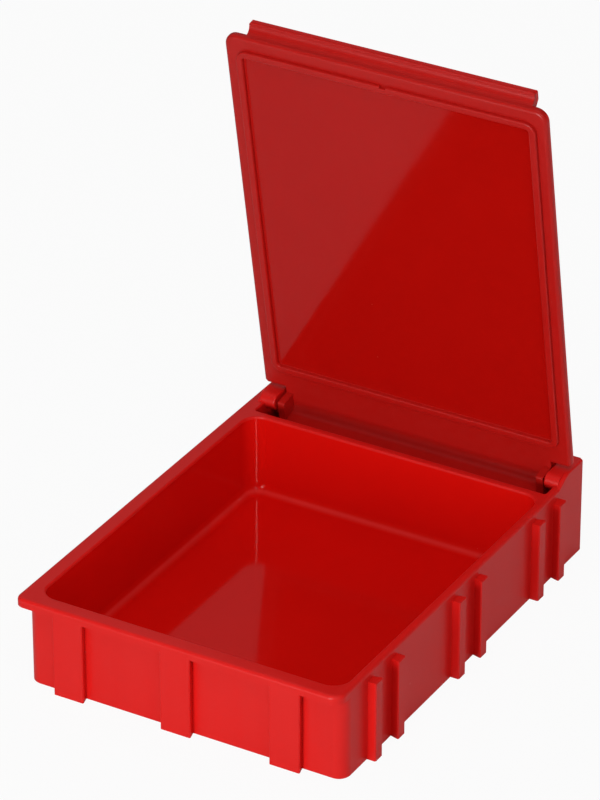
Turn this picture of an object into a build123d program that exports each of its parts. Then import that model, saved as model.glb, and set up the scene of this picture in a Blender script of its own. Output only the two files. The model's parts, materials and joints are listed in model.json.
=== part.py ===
# Spring-lid component box: a one-piece tray with dovetails, a one-piece lid and a leaf spring.
# Millimetres. +X right along the front, +Y to the back, +Z up.
# Origin: middle of the underside of the tray. The lid stands open.
import os
from math import cos, radians, sin

from build123d import *

os.makedirs("parts", exist_ok=True)

# Tray body
body_width = 49.9
body_depth = 69.1
rim_height = 13.8
wall = 1.2
floor_thick = 1.2
front_corner = 1.8
back_corner = 0.5
cavity_corner = 2.6
floor_round = 1.4
rim_round = 0.3
foot_chamfer = 0.12

# Pocket behind the cavity, for the skirt and the spring
pocket_length = 8.4
pocket_corner = 0.3

# Flange along the front and the left of the rim
flange_out = 1.25
flange_height = 1.3
flange_corner = 1.4
flange_round = 0.55

# Dovetails, three to a side: ribs on the front and left, grooves on the right and back
dovetail_out = 1.25
dovetail_play = 0.1
dovetail_root = 0.2
join_gap = 0.05
rib_face = 4.8
rib_neck = 4.15
rail_face = 1.9
dovetail_bevel = 0.15

# Lid plate
lid_thick = 1.2
lid_seat = 0.1
lid_front_over = 0.5
lid_left_over = 0.4
lid_corner = 1.8
lid_edge_round = 0.3
lid_under_round = 0.55
ear_notch = 2.75
notch_bevel = 0.45

# Hinge
axis_from_back = 5.1
axis_drop = 1.4
open_angle = 79.75
ear_inner = 2.85
ear_outer = 0.55
ear_radius = 1.25
ear_forward = 0.6
ear_edge_round = 0.2
pin_radius = 0.64
pin_play = 0.06
pin_end_play = 0.1
pin_cap = 0.65
bearing_wall = 0.45
bearing_inner = 1.75
arm_gap = 0.35
arm_wide = 1.1
arm_front = 2.0
arm_deep = 1.2
arm_round = 0.3

# Raised rear corners
ramp_from_back = 8.7
ramp_length = 4.5
block_round = 0.25

# Skirt on the hinge side of the lid, which stops the open lid at the front of the pocket
skirt_front = 0.9
skirt_thick = 1.2
skirt_cove = 1.5
skirt_heel = 1.0
skirt_round = 0.2
skirt_lap = 1.0
stop_play = 0.12

# Ridge round the inside of the lid
ridge_play = 0.3
ridge_wide = 1.05
ridge_high = 0.6
ridge_corner = 1.8
ridge_inner_corner = 0.5
ridge_round = 0.2

# Finger lip at the front of the lid
lip_left = 2.85
lip_right = 2.5
lip_under = 1.85
lip_thick = 0.95
lip_cove = 1.2
lip_flat = 0.35
lip_ramp = 1.7
lip_round = 0.3
lip_corner = 0.4

# Snap: a nub inside the front rim and a notch for it in the ridge
nub_wide = 0.6
nub_out = 0.4
nub_radius = 0.5
nub_drop = 0.75
nub_play = 0.2

# Leaf spring in the pocket
leaf_thick = 0.25
leaf_wide = 18.0
leaf_play = 0.1
leaf_back_leg = 6.9
leaf_bend = 1.2
leaf_lean = 25.0
leaf_tip_bend = 0.6
leaf_tip_turn = 90.0
guide_wide = 1.0
guide_high = 5.5
guide_out = 1.6

# Places worked out from the sizes
left = -body_width / 2
right = body_width / 2
front = -body_depth / 2
back = body_depth / 2
block_height = rim_height + lid_thick
rib_height = rim_height - flange_height
rail_height = rib_height - dovetail_play
pocket_back = back - wall
pocket_front = pocket_back - pocket_length
cavity_front = front + wall
cavity_back = pocket_front - wall
cavity_width = body_width - 2 * wall
cavity_length = cavity_back - cavity_front
cavity_middle = (cavity_front + cavity_back) / 2
hinge_y = back - axis_from_back
axis_height = rim_height - axis_drop
ramp_start = back - ramp_from_back
arm_outer = right - ear_inner - arm_gap
pin_hole_deep = ear_inner - pin_cap
pin_length = arm_gap + pin_hole_deep - pin_end_play

# Places on the shut lid, measured from the hinge axis
lid_under = axis_drop + lid_seat
lid_top = lid_under + lid_thick
lid_middle = (lid_under + lid_top) / 2
lid_front = front - lid_front_over - hinge_y
skirt_back = skirt_front + skirt_thick
stop_reach = hinge_y - pocket_front - stop_play
skirt_reach = (stop_reach + skirt_front * cos(radians(open_angle))) / sin(radians(open_angle))
ridge_width = cavity_width - 2 * ridge_play
ridge_length = cavity_length - 2 * ridge_play
ridge_middle = cavity_middle - hinge_y
ridge_front = ridge_middle - ridge_length / 2

# Dovetail centres: a neighbour's ribs meet these grooves with the two boxes in line
box_gap = dovetail_out + join_gap
pitch_x = (body_width + box_gap) / 3
pitch_y = (body_depth + box_gap) / 3
dovetail_x = [-box_gap / 2 + step * pitch_x for step in (-1, 0, 1)]
dovetail_y = [-box_gap / 2 + step * pitch_y for step in (-1, 0, 1)]

# One dovetail rib on a wall that faces -Y, its foot a little inside the wall
with BuildPart() as rib:
    with BuildSketch(Plane.XY):
        with BuildLine():
            Polyline(
                (-rib_neck / 2, dovetail_root),
                (-rib_neck / 2, 0),
                (-rib_face / 2, -dovetail_out),
                (rib_face / 2, -dovetail_out),
                (rib_neck / 2, 0),
                (rib_neck / 2, dovetail_root),
                close=True,
            )
        make_face()
    extrude(amount=rib_height + dovetail_root)
    chamfer(rib.edges().filter_by(Axis.Z).group_by(Axis.Y)[0], dovetail_bevel)

# One pair of rails on a wall that faces -Y, with the groove for a neighbour's rib between them
with BuildPart() as rails:
    with BuildSketch(Plane.XY):
        with BuildLine():
            groove_root = rib_face / 2 + dovetail_play
            groove_mouth = rib_neck / 2 + dovetail_play
            rail_outside = groove_mouth + rail_face
            Polyline(
                (groove_root, dovetail_root),
                (groove_root, 0),
                (groove_mouth, -dovetail_out),
                (rail_outside, -dovetail_out),
                (rail_outside, dovetail_root),
                close=True,
            )
        make_face()
        mirror(about=Plane.YZ)
    extrude(amount=rail_height)
    outer_edges = rails.edges().group_by(Axis.Y)[0]
    chamfer(outer_edges - outer_edges.group_by(Axis.Z)[0], dovetail_bevel)

# Cavity for the components
with BuildPart() as cavity:
    with BuildSketch(Plane.XY.offset(floor_thick)):
        with Locations((0, cavity_middle)):
            RectangleRounded(cavity_width, cavity_length, cavity_corner)
    extrude(amount=rim_height)
    fillet(cavity.faces().sort_by(Axis.Z)[0].edges(), floor_round)

# Raised right rear corner: the outside of the side wall rises in a soft ramp behind the lid's notch
with BuildPart() as corner:
    with BuildSketch(Plane.YZ.offset(right - ear_outer)):
        with BuildLine():
            ramp = Spline(
                (ramp_start, rim_height - flange_round / 2),
                (ramp_start + ramp_length, block_height),
                tangents=[(1, 0), (1, 0)],
            )
            Polyline(ramp @ 1, (back, block_height), (back, rib_height), (ramp_start, rib_height), ramp @ 0)
        make_face()
    extrude(amount=ear_outer)
    fillet(corner.edges().filter_by(Axis.Z).group_by(Axis.Y)[-1].sort_by(Axis.X)[-1], back_corner)
    fillet(corner.faces().filter_by(Axis.X).sort_by(Axis.X)[-1].edges().group_by(Axis.Z)[-1], block_round)

# Right hinge ear: a slab with a full round nose, tied to the rear wall
ear_tail = back - wall / 2
with BuildPart() as ear:
    with BuildSketch(Plane.YZ.offset(right - ear_inner)):
        with BuildLine():
            ear_low = block_height - 2 * ear_radius
            ear_middle = block_height - ear_radius
            ear_y = hinge_y - ear_forward
            Line((ear_tail, ear_low), (ear_y, ear_low))
            RadiusArc((ear_y, ear_low), (ear_y - ear_radius, ear_middle), ear_radius)
            RadiusArc((ear_y - ear_radius, ear_middle), (ear_y, block_height), ear_radius)
            Polyline((ear_y, block_height), (ear_tail, block_height), (ear_tail, ear_low))
        make_face()
    extrude(amount=ear_inner - ear_outer)
    fillet(ear.faces().sort_by(Axis.X)[0].edges(), ear_edge_round)

# Right bearing under the outer half of the ear, round the pin
with BuildPart() as bearing:
    with BuildSketch(Plane.YZ.offset(right - bearing_inner)):
        with BuildLine():
            bearing_radius = pin_radius + pin_play + bearing_wall
            Line((ear_tail, axis_height - bearing_radius), (hinge_y, axis_height - bearing_radius))
            RadiusArc(
                (hinge_y, axis_height - bearing_radius),
                (hinge_y - bearing_radius, axis_height),
                bearing_radius,
            )
            Polyline(
                (hinge_y - bearing_radius, axis_height),
                (hinge_y - bearing_radius, ear_middle),
                (ear_tail, ear_middle),
                (ear_tail, axis_height - bearing_radius),
            )
        make_face()
    extrude(amount=bearing_inner - ear_outer)

# Tray: body, flange, cavity, pocket, hinge corners and dovetails in one moulding
with BuildPart() as base_tray:
    with BuildSketch(Plane.XY) as foot_plan:
        Rectangle(body_width, body_depth)
        fillet(foot_plan.vertices().group_by(Axis.Y)[0], front_corner)
        fillet(foot_plan.vertices().group_by(Axis.Y)[-1], back_corner)
    extrude(amount=rim_height)
    chamfer(base_tray.faces().sort_by(Axis.Z)[0].edges(), foot_chamfer)

    with BuildSketch(Plane.XY.offset(rib_height)) as flange_plan:
        with BuildLine():
            Polyline(
                (left - flange_out, front - flange_out),
                (right, front - flange_out),
                (right, back),
                (left - flange_out, back),
                close=True,
            )
        make_face()
        fillet(flange_plan.vertices().group_by(Axis.Y)[0].sort_by(Axis.X)[0], flange_corner)
        fillet(flange_plan.vertices().group_by(Axis.Y)[0].sort_by(Axis.X)[-1], front_corner)
        fillet(flange_plan.vertices().group_by(Axis.Y)[-1], back_corner)
    extrude(amount=flange_height)

    add(cavity.part, mode=Mode.SUBTRACT)
    with BuildSketch(Plane.XY.offset(floor_thick)):
        with Locations((0, (pocket_front + pocket_back) / 2)):
            RectangleRounded(cavity_width, pocket_length, pocket_corner)
    extrude(amount=block_height, mode=Mode.SUBTRACT)
    fillet(base_tray.faces().sort_by(Axis.Z)[-1].outer_wire().edges(), flange_round)
    mouths = base_tray.faces().sort_by(Axis.Z)[-1].inner_wires()
    fillet([edge for mouth in mouths for edge in mouth.edges()], rim_round)

    # Rear wall, raised to the height of the corners
    with BuildSketch(Plane.XY.offset(rib_height)):
        with Locations((0, back - wall / 2)):
            Rectangle(body_width - 2 * back_corner, wall)
    extrude(amount=block_height - rib_height)

    add(corner.part)
    add(mirror(corner.part, about=Plane.YZ, mode=Mode.PRIVATE))
    add(ear.part)
    add(mirror(ear.part, about=Plane.YZ, mode=Mode.PRIVATE))
    add(bearing.part)
    add(mirror(bearing.part, about=Plane.YZ, mode=Mode.PRIVATE))

    # Blind holes for the lid's pins
    for side in (-1, 1):
        with Locations(Location((side * (right - ear_inner), hinge_y, axis_height), (0, 90 * side, 0))):
            Cylinder(
                pin_radius + pin_play,
                pin_hole_deep,
                align=(Align.CENTER, Align.CENTER, Align.MIN),
                mode=Mode.SUBTRACT,
            )

    # Ribs on the front and the left
    with Locations(*[(x, front, 0) for x in dovetail_x]):
        add(rib.part)
    with Locations(*[Location((left, y, 0), (0, 0, -90)) for y in dovetail_y]):
        add(rib.part)
    # Rails on the right and the back
    with Locations(*[Location((right, y, 0), (0, 0, 90)) for y in dovetail_y]):
        add(rails.part)
    with Locations(*[Location((x, back, 0), (0, 0, 180)) for x in dovetail_x]):
        add(rails.part)

    # Snap nub inside the front rim
    with Locations(Location((0, cavity_front - nub_radius + nub_out, rim_height - nub_drop), (0, 90, 0))):
        Cylinder(nub_radius, nub_wide)

    # Guides either side of the spring
    for side in (-1, 1):
        with Locations((side * (leaf_wide / 2 + leaf_play + guide_wide / 2), pocket_back, floor_thick)):
            Box(guide_wide, 2 * guide_out, guide_high, align=(Align.CENTER, Align.CENTER, Align.MIN))

base_tray.part.label = "base_tray"
export_step(base_tray.part, "parts/base_tray.step")

# Ridge of the shut lid: a frame that drops into the mouth of the cavity, notched for the snap nub
with BuildPart() as ridge:
    with BuildSketch(Plane.XY.offset(lid_middle)):
        with Locations((0, ridge_middle)):
            RectangleRounded(ridge_width, ridge_length, ridge_corner)
            RectangleRounded(
                ridge_width - 2 * ridge_wide,
                ridge_length - 2 * ridge_wide,
                ridge_inner_corner,
                mode=Mode.SUBTRACT,
            )
    extrude(amount=lid_under - ridge_high - lid_middle)
    fillet(ridge.faces().sort_by(Axis.Z)[0].edges(), ridge_round)
    with Locations((0, ridge_front, lid_under)):
        Box(
            nub_wide + 2 * nub_play,
            2 * (nub_out + nub_play - ridge_play),
            2 * ridge_high,
            mode=Mode.SUBTRACT,
        )

# Finger lip of the shut lid, cranked up from the front edge
with BuildPart() as lip:
    with BuildSketch(Plane.YZ.offset(left + lip_left)) as lip_profile:
        with BuildLine():
            lip_back = lid_front + lip_ramp
            lip_tip = lid_front - lip_cove - lip_flat
            lip_low = lid_under + lip_under
            lip_high = lip_low + lip_thick
            Line((lip_back, lid_middle), (lid_front, lip_low - lip_cove))
            RadiusArc((lid_front, lip_low - lip_cove), (lid_front - lip_cove, lip_low), -lip_cove)
            Polyline(
                (lid_front - lip_cove, lip_low),
                (lip_tip, lip_low),
                (lip_tip, lip_high),
                (lid_front, lip_high),
                (lip_back, lid_top),
                (lip_back, lid_middle),
            )
        make_face()
        fillet(lip_profile.vertices().group_by(Axis.X)[0], lip_round)
    extrude(amount=body_width - lip_left - lip_right)
    # Round corners at the tip
    with BuildSketch(Plane.XY.offset(lid_under)) as lip_plan:
        with Locations(((lip_left - lip_right) / 2, lip_back)):
            Rectangle(body_width - lip_left - lip_right, lip_back - lip_tip, align=(Align.CENTER, Align.MAX))
        fillet(lip_plan.vertices().group_by(Axis.Y)[0], lip_corner)
    extrude(amount=lip_high, both=True, mode=Mode.INTERSECT)

# Lid, drawn shut with its hinge axis as origin: -Y is the front, +Z the outside
with BuildPart() as lid_shut:
    with BuildSketch(Plane.XY.offset(lid_under)) as lid_plan:
        with BuildLine():
            lid_left = left - lid_left_over
            Polyline(
                (lid_left, lid_front),
                (right, lid_front),
                (right, -ear_notch),
                (lid_left, -ear_notch),
                close=True,
            )
        make_face()
        fillet(lid_plan.vertices().group_by(Axis.Y)[0], lid_corner)
        chamfer(lid_plan.vertices().group_by(Axis.Y)[-1], notch_bevel)
    extrude(amount=lid_thick)
    fillet(lid_shut.faces().sort_by(Axis.Z)[0].edges(), lid_under_round)
    fillet(lid_shut.faces().sort_by(Axis.Z)[-1].edges(), lid_edge_round)

    # Hinge side between the ears: plate, cove and skirt
    with BuildSketch(Plane.YZ.offset(-arm_outer)) as skirt_profile:
        with BuildLine():
            lap = -ear_notch - skirt_lap
            cove_front = skirt_front - skirt_cove
            cove_low = lid_under - skirt_cove
            heel_front = skirt_back - skirt_heel
            heel_low = lid_top - skirt_heel
            Line((lap, lid_under), (cove_front, lid_under))
            RadiusArc((cove_front, lid_under), (skirt_front, cove_low), skirt_cove)
            Polyline(
                (skirt_front, cove_low),
                (skirt_front, -skirt_reach),
                (skirt_back, -skirt_reach),
                (skirt_back, heel_low),
            )
            RadiusArc((skirt_back, heel_low), (heel_front, lid_top), -skirt_heel)
            Polyline((heel_front, lid_top), (lap, lid_top), (lap, lid_under))
        make_face()
        fillet(skirt_profile.vertices().group_by(Axis.Y)[0], skirt_round)
    extrude(amount=2 * arm_outer)

    # Arms at the ends of the skirt, each with its pin
    for side in (-1, 1):
        with BuildSketch(Plane.YZ.offset(side * (arm_outer - arm_wide / 2))) as arm_profile:
            with BuildLine():
                arm_back = (skirt_front + skirt_back) / 2
                Polyline(
                    (-arm_front, lid_middle),
                    (-arm_front, -arm_deep),
                    (arm_back, -arm_deep),
                    (arm_back, lid_middle),
                    close=True,
                )
            make_face()
            fillet(arm_profile.vertices().group_by(Axis.Y)[0].sort_by(Axis.X)[0], arm_round)
        extrude(amount=arm_wide / 2, both=True)
        with Locations(Location((side * arm_outer, 0, 0), (0, 90 * side, 0))):
            Cylinder(pin_radius, pin_length, align=(Align.CENTER, Align.CENTER, Align.MIN))

    add(ridge.part)
    add(lip.part)

with BuildPart() as lid:
    with Locations(Location((0, hinge_y, axis_height), (-open_angle, 0, 0))):
        add(lid_shut.part)

lid.part.label = "lid"
export_step(lid.part, "parts/lid.step")

# Leaf spring: a folded strip, its back leg on the rear wall and its curled tip under the skirt
with BuildPart() as lid_spring:
    with BuildLine(Plane.YZ) as leaf_path:
        leaf_y = pocket_back - leaf_play - leaf_thick / 2
        bend_z = floor_thick + leaf_play + leaf_thick / 2 + leaf_bend
        back_leg = Line((leaf_y, bend_z + leaf_back_leg), (leaf_y, bend_z))
        fold = JernArc(back_leg @ 1, back_leg % 1, leaf_bend, leaf_lean - 180)
        skirt_away = Vector(0, 1, 0).rotate(Axis.X, -open_angle)
        tip_clear = skirt_back + leaf_play + leaf_thick / 2 + leaf_tip_bend
        under_skirt = Vector(0, hinge_y, axis_height) + skirt_away * tip_clear
        leg_length = (under_skirt - fold @ 1).dot(skirt_away) / (fold % 1).dot(skirt_away)
        front_leg = Line(fold @ 1, fold @ 1 + leg_length * (fold % 1))
        JernArc(front_leg @ 1, front_leg % 1, leaf_tip_bend, leaf_tip_turn)
    with BuildSketch(Plane(origin=back_leg @ 0, x_dir=(1, 0, 0), z_dir=back_leg % 0)):
        Rectangle(leaf_wide, leaf_thick)
    sweep(path=leaf_path.line)

lid_spring.part.label = "lid_spring"
export_step(lid_spring.part, "parts/lid_spring.step")
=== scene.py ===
import json
from math import cos, radians, sin

import bpy
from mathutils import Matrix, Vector


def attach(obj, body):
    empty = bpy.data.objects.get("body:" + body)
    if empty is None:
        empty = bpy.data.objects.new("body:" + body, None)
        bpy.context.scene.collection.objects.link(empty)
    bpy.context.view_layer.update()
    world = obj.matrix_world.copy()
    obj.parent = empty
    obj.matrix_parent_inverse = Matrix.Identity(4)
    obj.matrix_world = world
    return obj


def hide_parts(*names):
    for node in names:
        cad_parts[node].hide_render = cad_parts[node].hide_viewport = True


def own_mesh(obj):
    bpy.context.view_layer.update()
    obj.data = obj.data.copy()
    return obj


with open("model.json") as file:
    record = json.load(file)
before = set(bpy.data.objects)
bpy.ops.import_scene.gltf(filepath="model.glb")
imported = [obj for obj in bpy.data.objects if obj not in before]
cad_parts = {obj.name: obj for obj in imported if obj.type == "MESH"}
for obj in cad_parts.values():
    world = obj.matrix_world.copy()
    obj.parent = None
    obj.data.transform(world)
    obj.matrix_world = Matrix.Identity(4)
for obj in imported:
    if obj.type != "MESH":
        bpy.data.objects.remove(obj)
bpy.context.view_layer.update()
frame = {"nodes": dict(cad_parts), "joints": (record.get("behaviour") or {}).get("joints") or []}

hinge = next(joint for joint in frame["joints"] if joint["name"] == "lid_hinge")

# Red spring-lid component box, open, on a pale table. Metres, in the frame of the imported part.
MM = 0.001

# Camera: a long lens at the front right corner, looking down on the open box
CAMERA_PLACE = (0.29340, -0.51061, 0.36992)
CAMERA_TURN = (radians(60.339), 0, radians(30.034))
CAMERA_LENS = 221.97
CAMERA_SENSOR = 36.0
CAMERA_NEAR = 0.01
CAMERA_FAR = 20

# Table and room. The lift makes the table white where it is seen directly, and the mirrored share is how
# much of that white the gloss of the box shows.
TABLE_SIZE = 6.0
TABLE_DROP = 0.02 * MM
TABLE_GREY = (0.65, 0.65, 0.65, 1)
TABLE_ROUGH = 0.9
TABLE_LIFT = 0.94
MIRRORED_SHARE = 0.05
ROOM_WHITE = (1, 1, 1, 1)

# Lamps, each at an azimuth, elevation and distance from the middle of the box, with its width, height and
# watts. The panels light the box, and the gleams show only as highlights on its gloss.
LAMP_AIM = Vector((0, 0, 30 * MM))
PANELS = {
    "panel_low_front": (4.5, 6, 0.35, 0.10, 0.10, 0.61),
    "panel_high_front": (30, 60, 1.0, 0.9, 0.9, 3.35),
    "panel_low_right": (60, 15, 1.0, 0.5, 0.5, 0.95),
    "panel_back_right": (135, 15, 1.0, 0.5, 0.5, 1.9),
    "panel_left": (-90, 35, 1.0, 0.9, 0.9, 1.2),
    "panel_back_left": (-135, 35, 1.0, 0.9, 0.9, 1.2),
    "panel_top": (0, 89, 1.0, 0.9, 0.9, 1.6),
}
GLEAMS = {
    "gleam_low_front": (0, 6, 0.35, 0.10, 0.10, 0.62),
    "gleam_high_front": (30, 60, 1.0, 0.9, 0.9, 0.5),
    "gleam_low_left": (-32, 1.5, 0.8, 0.6, 0.10, 0.36),
    "gleam_by_camera": (37, 30, 1.0, 0.10, 0.10, 0.9),
    "gleam_back_left": (-140, 33, 1.0, 0.9, 0.9, 0.4),
}

# Boxes that the finishes follow, each with the margin over which it fades: the tray's cavity and the middle
# of the radius round its floor, where a pinkish highlight is painted, and on the shut lid, with the hinge pin
# as origin, the panel inside the ridge, the whole underside and the underside of the finger lip, which are
# painted in darker shade
CAVITY = ((-24.0 * MM, -33.6 * MM, 0.9 * MM), (24.0 * MM, 24.0 * MM, 13.25 * MM), 0.2 * MM)
FLOOR_HIGHLIGHT_BAND = ((-24.0 * MM, -33.6 * MM, 1.50 * MM), (24.0 * MM, 24.0 * MM, 1.62 * MM), 0.27 * MM)
LID_PANEL = ((-22.1 * MM, -61.15 * MM, 1.2 * MM), (22.1 * MM, -7.35 * MM, 2.0 * MM), 0.2 * MM)
LID_UNDERSIDE = ((-30 * MM, -70 * MM, -12 * MM), (30 * MM, 12 * MM, 2.0 * MM), 0.2 * MM)
LIP_UNDERSIDE = ((-30 * MM, -70 * MM, -12 * MM), (30 * MM, -63.9 * MM, 3.6 * MM), 0.2 * MM)

# Reds of the plastic, each between two shades: outside, in the cavity, a pinkish painted highlight in the
# middle of the radius round its floor, and painted shade on the lid's underside and panel, darker copies of
# the same red
OUTSIDE_REDS = ((0.71, 0.0055, 0.0040, 1), (0.77, 0.0065, 0.0048, 1))
CAVITY_REDS = ((0.71, 0.0050, 0.0028, 1), (0.76, 0.0060, 0.0035, 1))
FILLET_HIGHLIGHT_REDS = ((0.74, 0.023, 0.020, 1), (0.79, 0.028, 0.024, 1))
UNDERSIDE_SHADE_REDS = ((0.50, 0.0040, 0.0022, 1), (0.54, 0.0048, 0.0028, 1))
PANEL_SHADE_REDS = ((0.47, 0.0040, 0.0022, 1), (0.51, 0.0048, 0.0028, 1))

# Skin of the plastic: roughness from least to most, highlights, and heights of its grain and sink marks
SATIN_ROUGH = (0.30, 0.38)
POLISHED_ROUGH = (0.05, 0.10)
PLASTIC_SPECULAR = 0.3
GRAIN_HIGH = 0.002 * MM
SINK_HIGH = 0.010 * MM

# Painted sheen: a pale pink laid over the satin skin for its reflection, in drag marks that are drawn out
# along the height of the walls
PAINTED_SHEEN_SHARE = 0.010
PAINTED_SHEEN_PINK = (0.78, 0.50, 0.45, 1)
DRAG_PER_MM = 0.7
DRAG_DRAWN = (1, 1, 0.06)
DRAG_SPREAD = (0.2, 1.8)

# Pale specks of dust and flash: one to a cell, with its radius in cells, and a share of the cells left out
SPECK_SHARE = 0.55
SPECK_PINK = (0.85, 0.30, 0.26, 1)
SPECK_RADIUS = 0.035
SPECK_LEFT_OUT = 0.6

# Rolled steel, with lines drawn out along the strip
STEEL_GREYS = ((0.44, 0.44, 0.42, 1), (0.60, 0.60, 0.58, 1))
STEEL_ROUGH = (0.22, 0.42)
ROLLED_PER_MM = 9
ROLLED_DRAWN = (1, 0.02, 0.02)
ROLLED_HIGH = 0.004 * MM
ROLLED_STRENGTH = 0.3

# Leaf spring: a strip seen from the side in Y and Z, its back leg on the rear wall of the pocket
LEAF_WIDE = 18.0 * MM
LEAF_THICK = 0.25 * MM
LEAF_BACK_Y = 33.125 * MM
LEAF_TOP = 9.525 * MM
LEAF_FOLD = Vector((0, 31.925 * MM, 2.625 * MM))
LEAF_FOLD_TURN = radians(155)
LEAF_FOLD_STEPS = 16
LEAF_FRONT_LEG = 7.694 * MM
LEAF_TIP_RADIUS = 0.6 * MM
LEAF_TIP_TURN = radians(90)
LEAF_TIP_STEPS = 8
LEAF_CORNER = 1.5 * MM
LEAF_CORNER_STEPS = 6
LEAF_EDGE = 0.05 * MM
LEAF_EDGE_STEPS = 2
LEAF_EDGE_ANGLE = radians(50)
LEAF_SMOOTH_ANGLE = radians(35)


def add(tree, kind, inputs=None, **settings):
    """One node with its settings, its inputs set to values or linked to sockets."""
    made = tree.nodes.new(kind)
    for name, value in settings.items():
        setattr(made, name, value)
    for name, value in (inputs or {}).items():
        if isinstance(value, bpy.types.NodeSocket):
            tree.links.new(value, made.inputs[name])
        else:
            made.inputs[name].default_value = value
    return made


def new_group(name, inputs, outputs):
    """An empty node group with these named sockets."""
    tree = bpy.data.node_groups.new(name, "ShaderNodeTree")
    for label, (kind, value) in inputs.items():
        socket = tree.interface.new_socket(label, in_out="INPUT", socket_type=kind)
        socket.default_value = value
    for label, kind in outputs.items():
        tree.interface.new_socket(label, in_out="OUTPUT", socket_type=kind)
    start = tree.nodes.new("NodeGroupInput")
    end = tree.nodes.new("NodeGroupOutput")
    return tree, start.outputs, end.inputs


def new_material(name):
    """A material with its node tree and its plain shader."""
    material = bpy.data.materials.new(name)
    material.use_nodes = True
    tree = material.node_tree
    return material, tree, tree.nodes["Principled BSDF"]


def math_node(tree, operation, a, b=0.0):
    """One sum on two values."""
    return add(tree, "ShaderNodeMath", {0: a, 1: b}, operation=operation).outputs[0]


def vector_node(tree, operation, a, b):
    """One sum on two places."""
    return add(tree, "ShaderNodeVectorMath", {0: a, 1: b}, operation=operation).outputs[0]


def mix_colours(tree, share, first, second):
    """The first colour, going over to the second as the share goes to 1."""
    mixed = add(tree, "ShaderNodeMix", {0: share, 6: first, 7: second}, data_type="RGBA")
    return mixed.outputs[2]


def spread(tree, value, least, most):
    """A value of 0 to 1 spread from the least to the most."""
    return add(tree, "ShaderNodeMapRange", {"Value": value, "To Min": least, "To Max": most}).outputs[0]


def zone_group():
    """Mask of 1 inside a box, fading out over the margin outside it."""
    tree, given, put = new_group(
        "zone",
        {
            "Vector": ("NodeSocketVector", (0, 0, 0)),
            "Low": ("NodeSocketVector", (0, 0, 0)),
            "High": ("NodeSocketVector", (0, 0, 0)),
            "Margin": ("NodeSocketFloat", MM),
        },
        {"Mask": "NodeSocketFloat"},
    )
    above = vector_node(tree, "SUBTRACT", given["Vector"], given["Low"])
    below = vector_node(tree, "SUBTRACT", given["High"], given["Vector"])
    depth = vector_node(tree, "MINIMUM", above, below)
    parts = add(tree, "ShaderNodeSeparateXYZ", {0: depth}).outputs
    least = math_node(tree, "MINIMUM", math_node(tree, "MINIMUM", parts[0], parts[1]), parts[2])
    share = math_node(tree, "DIVIDE", math_node(tree, "ADD", least, given["Margin"]), given["Margin"])
    soft = add(tree, "ShaderNodeClamp", {"Value": share}).outputs[0]
    tree.links.new(soft, put["Mask"])
    return tree


def skin_group():
    """Surface of a moulding: spark grain, sink marks, clouds in the pigment, drag marks and sparse specks."""
    tree, given, put = new_group(
        "moulded_skin",
        {
            "Vector": ("NodeSocketVector", (0, 0, 0)),
            "Grain per mm": ("NodeSocketFloat", 6.0),
            "Cloud mm": ("NodeSocketFloat", 9.0),
            "Speck mm": ("NodeSocketFloat", 5.0),
        },
        {
            "Grain": "NodeSocketFloat",
            "Sink": "NodeSocketFloat",
            "Cloud": "NodeSocketFloat",
            "Drag": "NodeSocketFloat",
            "Speck": "NodeSocketFloat",
        },
    )
    place = given["Vector"]

    # Grain is fine, and sink marks and clouds are slow
    fine = math_node(tree, "DIVIDE", given["Grain per mm"], MM)
    slow = math_node(tree, "DIVIDE", 1 / MM, given["Cloud mm"])
    grain = add(tree, "ShaderNodeTexNoise", {"Vector": place, "Scale": fine, "Detail": 3.0})
    sink = add(tree, "ShaderNodeTexNoise", {"Vector": place, "Scale": slow, "Detail": 1.0})
    cloud_look = {"Vector": place, "Scale": slow, "Detail": 4.0, "Roughness": 0.6}
    cloud = add(tree, "ShaderNodeTexNoise", cloud_look)

    # Drag marks run up the walls, the way that the moulding leaves the mould
    upright = add(tree, "ShaderNodeMapping", {"Vector": place, "Scale": DRAG_DRAWN}).outputs[0]
    drag = add(tree, "ShaderNodeTexNoise", {"Vector": upright, "Scale": DRAG_PER_MM / MM, "Detail": 3.0})

    # One speck in each cell, and most of them left out
    cells = math_node(tree, "DIVIDE", 1 / MM, given["Speck mm"])
    dots = add(tree, "ShaderNodeTexVoronoi", {"Vector": place, "Scale": cells}).outputs
    lot = add(tree, "ShaderNodeSeparateColor", {"Color": dots["Color"]}).outputs[0]
    size_range = {"Value": lot, "From Min": SPECK_LEFT_OUT, "To Min": 0.0, "To Max": SPECK_RADIUS}
    size = add(tree, "ShaderNodeMapRange", size_range).outputs[0]
    speck_range = {"Value": dots["Distance"], "From Min": 0.0, "From Max": size, "To Min": 1.0, "To Max": 0.0}
    speck = add(tree, "ShaderNodeMapRange", speck_range)

    tree.links.new(grain.outputs["Fac"], put["Grain"])
    tree.links.new(sink.outputs["Fac"], put["Sink"])
    tree.links.new(cloud.outputs["Fac"], put["Cloud"])
    tree.links.new(drag.outputs["Fac"], put["Drag"])
    tree.links.new(speck.outputs[0], put["Speck"])
    return tree


def in_zone(tree, zone, place, box):
    """Mask of a finish box, through the zone group."""
    low, high, margin = box
    edges = {"Vector": place, "Low": low, "High": high, "Margin": margin}
    return add(tree, "ShaderNodeGroup", edges, node_tree=zone).outputs["Mask"]


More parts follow.
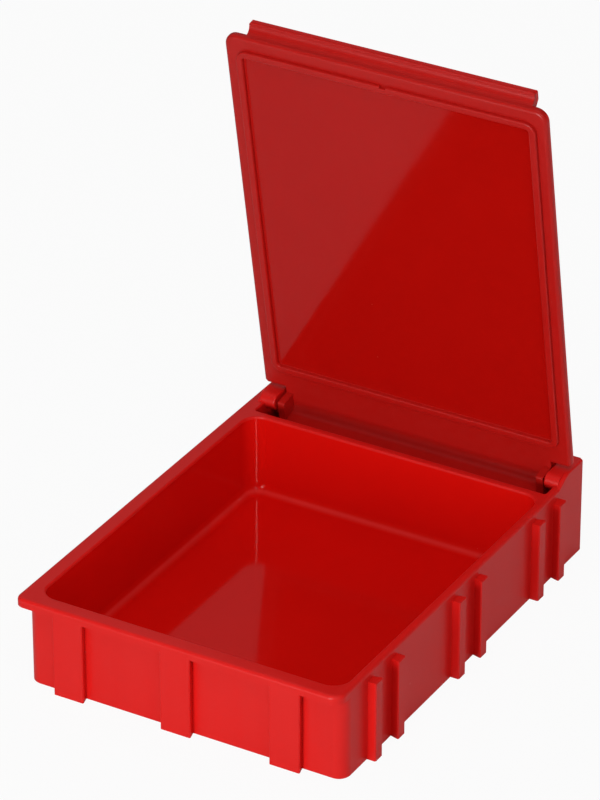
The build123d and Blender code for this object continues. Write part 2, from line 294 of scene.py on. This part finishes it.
def red_plastic(name, zone, skin, polished_box, layers, lid_turn=None):
    """Moulded red plastic: satin, glossy in the polished box, with other reds in the boxes of the layers,
    where highlight and shade are painted, and a painted sheen over the satin.
    """
    material, tree, shader = new_material(name)
    place = add(tree, "ShaderNodeTexCoord").outputs["Object"]
    if lid_turn is not None:
        # The lid's pattern is laid out on the shut lid, about the hinge pin
        shut = {"Vector": place, "Location": hinge["pos_m"], "Rotation": (-lid_turn, 0, 0)}
        place = add(tree, "ShaderNodeMapping", shut, vector_type="TEXTURE").outputs[0]
    polished = in_zone(tree, zone, place, polished_box)
    satin_share = math_node(tree, "SUBTRACT", 1.0, polished)
    surface = add(tree, "ShaderNodeGroup", {"Vector": place}, node_tree=skin).outputs
    cloud = surface["Cloud"]

    # Roughness: satin outside with a little unevenness, polished inside
    satin = spread(tree, cloud, *SATIN_ROUGH)
    gloss = spread(tree, cloud, *POLISHED_ROUGH)
    rough = add(tree, "ShaderNodeMix", {"Factor": polished, "A": satin, "B": gloss}, data_type="FLOAT")
    tree.links.new(rough.outputs[0], shader.inputs["Roughness"])

    # Colour: clouds in the pigment, a painted sheen over the satin skin, and specks
    pigment = mix_colours(tree, cloud, *OUTSIDE_REDS)
    # Each layer lays its red in its box: a painted highlight round the tray's floor, painted shade on the lid
    for box, reds in layers:
        inside = in_zone(tree, zone, place, box)
        pigment = mix_colours(tree, inside, pigment, mix_colours(tree, cloud, *reds))
    drag = spread(tree, surface["Drag"], *DRAG_SPREAD)
    painted_sheen = math_node(tree, "MULTIPLY", math_node(tree, "MULTIPLY", satin_share, drag), PAINTED_SHEEN_SHARE)
    sheened_pigment = mix_colours(tree, painted_sheen, pigment, PAINTED_SHEEN_PINK)
    speck = math_node(tree, "MULTIPLY", surface["Speck"], SPECK_SHARE)
    tree.links.new(mix_colours(tree, speck, sheened_pigment, SPECK_PINK), shader.inputs["Base Color"])

    # Relief in metres: spark grain outside, faint sink marks all over
    grain = math_node(tree, "MULTIPLY", surface["Grain"], satin_share)
    grain_high = math_node(tree, "MULTIPLY", grain, GRAIN_HIGH)
    sink_high = math_node(tree, "MULTIPLY", surface["Sink"], SINK_HIGH)
    relief = math_node(tree, "ADD", grain_high, sink_high)
    bump = add(tree, "ShaderNodeBump", {"Height": relief, "Strength": 1.0, "Distance": 1.0})
    tree.links.new(bump.outputs[0], shader.inputs["Normal"])
    shader.inputs["Specular IOR Level"].default_value = PLASTIC_SPECULAR
    return material


def spring_steel(skin):
    """Rolled spring strip with lines along its length."""
    material, tree, shader = new_material("rolled_spring_steel")
    place = add(tree, "ShaderNodeTexCoord").outputs["Object"]
    drawn = add(tree, "ShaderNodeMapping", {"Vector": place, "Scale": ROLLED_DRAWN}).outputs[0]
    lines = add(tree, "ShaderNodeTexNoise", {"Vector": drawn, "Scale": ROLLED_PER_MM / MM, "Detail": 2.0})
    rolled = lines.outputs["Fac"]
    surface = add(tree, "ShaderNodeGroup", {"Vector": place}, node_tree=skin).outputs
    tree.links.new(mix_colours(tree, surface["Cloud"], *STEEL_GREYS), shader.inputs["Base Color"])
    tree.links.new(spread(tree, rolled, *STEEL_ROUGH), shader.inputs["Roughness"])
    relief = {"Height": rolled, "Strength": ROLLED_STRENGTH, "Distance": ROLLED_HIGH}
    bump = add(tree, "ShaderNodeBump", relief)
    tree.links.new(bump.outputs[0], shader.inputs["Normal"])
    shader.inputs["Metallic"].default_value = 1.0
    return material


def seen_directly(tree):
    """1 for what the camera sees straight or through something, less for what it sees mirrored."""
    path = add(tree, "ShaderNodeLightPath").outputs
    straight = math_node(tree, "MAXIMUM", path["Is Camera Ray"], path["Is Transmission Ray"])
    mirrored = math_node(tree, "MULTIPLY", path["Is Glossy Ray"], MIRRORED_SHARE)
    return math_node(tree, "MAXIMUM", straight, mirrored)


def select_points(piece, wanted):
    """Edit mode with only the wanted points of the piece selected."""
    bpy.ops.object.mode_set(mode="OBJECT")
    for part in (*piece.data.polygons, *piece.data.edges):
        part.select = False
    for point in piece.data.vertices:
        point.select = wanted(point.co)
    bpy.ops.object.mode_set(mode="EDIT")
    bpy.ops.mesh.select_mode(type="VERT")


def leaf_spring(steel):
    """Folded leaf in the pocket, made in its shape with the lid open; on the real box it flattens under the
    skirt as the lid shuts.
    """
    low = LEAF_FOLD.z
    back_middle = (0, LEAF_BACK_Y, (LEAF_TOP + low) / 2)
    bpy.ops.object.select_all(action="DESELECT")
    bpy.ops.mesh.primitive_plane_add(size=1, location=back_middle, rotation=(radians(90), 0, 0))
    leaf = bpy.context.object
    leaf.name = "leaf_spring"
    leaf.scale = (LEAF_WIDE, LEAF_TOP - low, 1)
    bpy.ops.object.transform_apply(location=True, rotation=True, scale=True)

    # Fold under the back leg, then the front leg and its curled tip
    fold_radius = LEAF_BACK_Y - LEAF_FOLD.y
    fold_end = LEAF_FOLD + fold_radius * Vector((0, cos(LEAF_FOLD_TURN), -sin(LEAF_FOLD_TURN)))
    along = Vector((0, -sin(LEAF_FOLD_TURN), -cos(LEAF_FOLD_TURN)))
    leg_end = fold_end + LEAF_FRONT_LEG * along
    tip_middle = leg_end + LEAF_TIP_RADIUS * Vector((0, -along.z, along.y))
    select_points(leaf, lambda co: co.z < low + LEAF_THICK)
    bpy.ops.mesh.spin(steps=LEAF_FOLD_STEPS, angle=LEAF_FOLD_TURN, center=LEAF_FOLD, axis=(1, 0, 0))
    bpy.ops.mesh.extrude_region_move(TRANSFORM_OT_translate={"value": along * LEAF_FRONT_LEG})
    bpy.ops.mesh.spin(steps=LEAF_TIP_STEPS, angle=LEAF_TIP_TURN, center=tip_middle, axis=(-1, 0, 0))

    # Round corners at the top of the back leg
    select_points(leaf, lambda co: co.z > LEAF_TOP - LEAF_EDGE and co.y > LEAF_BACK_Y - LEAF_EDGE)
    bpy.ops.mesh.bevel(offset=LEAF_CORNER, segments=LEAF_CORNER_STEPS, affect="VERTICES")
    bpy.ops.mesh.select_all(action="SELECT")
    bpy.ops.mesh.normals_make_consistent(inside=False)
    bpy.ops.object.mode_set(mode="OBJECT")

    # Thickness of the strip, and its rolled edges
    strip = leaf.modifiers.new("strip", "SOLIDIFY")
    strip.thickness = LEAF_THICK
    strip.offset = 0
    strip.use_even_offset = True
    bpy.ops.object.modifier_apply(modifier="strip")
    edges = leaf.modifiers.new("edges", "BEVEL")
    edges.width = LEAF_EDGE
    edges.segments = LEAF_EDGE_STEPS
    edges.limit_method = "ANGLE"
    edges.angle_limit = LEAF_EDGE_ANGLE
    bpy.ops.object.modifier_apply(modifier="edges")
    bpy.ops.object.shade_smooth_by_angle(angle=LEAF_SMOOTH_ANGLE)

    leaf.data.materials.append(steel)
    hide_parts("lid_spring")
    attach(leaf, "tray")
    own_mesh(leaf)


def table_top():
    """Pale table. Seen directly it is lifted to white, and keeps a soft shadow."""
    bpy.ops.object.select_all(action="DESELECT")
    bpy.ops.mesh.primitive_plane_add(size=TABLE_SIZE, location=(0, 0, -TABLE_DROP))
    table = bpy.context.object
    table.name = "table_top"
    material, tree, matt = new_material("table_white")
    matt.inputs["Base Color"].default_value = TABLE_GREY
    matt.inputs["Roughness"].default_value = TABLE_ROUGH
    matt.inputs["Specular IOR Level"].default_value = 0.0
    white = add(tree, "ShaderNodeEmission", {"Strength": 1.0})
    lift = math_node(tree, "MULTIPLY", seen_directly(tree), TABLE_LIFT)
    mixed = add(tree, "ShaderNodeMixShader", {0: lift, 1: matt.outputs[0], 2: white.outputs[0]})
    tree.links.new(mixed.outputs[0], tree.nodes["Material Output"].inputs["Surface"])
    table.data.materials.append(material)


def white_room():
    """A room that is white where it is seen directly and faint where mirrored. The lamps do the rest."""
    world = bpy.data.worlds.new("studio")
    world.use_nodes = True
    bpy.context.scene.world = world
    tree = world.node_tree
    background = tree.nodes["Background"]
    background.inputs["Color"].default_value = ROOM_WHITE
    tree.links.new(seen_directly(tree), background.inputs["Strength"])


def lamp(name, azimuth, elevation, distance, width, height, watts):
    """A soft lamp that faces the box and that the camera doesn't see."""
    a = radians(azimuth)
    e = radians(elevation)
    away = Vector((sin(a) * cos(e), -cos(a) * cos(e), sin(e)))
    data = bpy.data.lights.new(name, "AREA")
    data.shape = "RECTANGLE"
    data.size = width
    data.size_y = height
    data.energy = watts
    made = bpy.data.objects.new(name, data)
    made.location = LAMP_AIM + away * distance
    made.rotation_euler = away.to_track_quat("Z", "Y").to_euler()
    made.visible_camera = False
    bpy.context.scene.collection.objects.link(made)
    return made


def lamps():
    """The panels, kept out of the gloss, and the gleams, which show in it alone."""
    for name, setting in PANELS.items():
        lamp(name, *setting).visible_glossy = False
    for name, setting in GLEAMS.items():
        lamp(name, *setting).visible_diffuse = False


def camera():
    """The camera at the front right corner."""
    data = bpy.data.cameras.new("camera")
    data.lens = CAMERA_LENS
    data.sensor_width = CAMERA_SENSOR
    data.clip_start = CAMERA_NEAR
    data.clip_end = CAMERA_FAR
    seen = bpy.data.objects.new("camera", data)
    seen.location = CAMERA_PLACE
    seen.rotation_euler = CAMERA_TURN
    bpy.context.scene.collection.objects.link(seen)
    bpy.context.scene.camera = seen


# Finishes: each moulding has its own red, with its own layers of other reds over the outside one: a painted
# highlight round the tray's floor, and painted shade on the lid's underside, lip and panel
zone = zone_group()
skin = skin_group()
tray_layers = [(CAVITY, CAVITY_REDS), (FLOOR_HIGHLIGHT_BAND, FILLET_HIGHLIGHT_REDS)]
tray_red = red_plastic("red_plastic_tray", zone, skin, CAVITY, tray_layers)
shut_turn = radians(hinge["range_deg"][1])
lid_layers = [(LID_UNDERSIDE, UNDERSIDE_SHADE_REDS), (LIP_UNDERSIDE, UNDERSIDE_SHADE_REDS), (LID_PANEL, PANEL_SHADE_REDS)]
lid_red = red_plastic("red_plastic_lid", zone, skin, LID_PANEL, lid_layers, shut_turn)
frame["nodes"]["base_tray"].data.materials[0] = tray_red
frame["nodes"]["lid"].data.materials[0] = lid_red
leaf_spring(spring_steel(skin))

# Studio
table_top()
white_room()
lamps()
camera()
bpy.context.scene.view_settings.view_transform = "Standard"
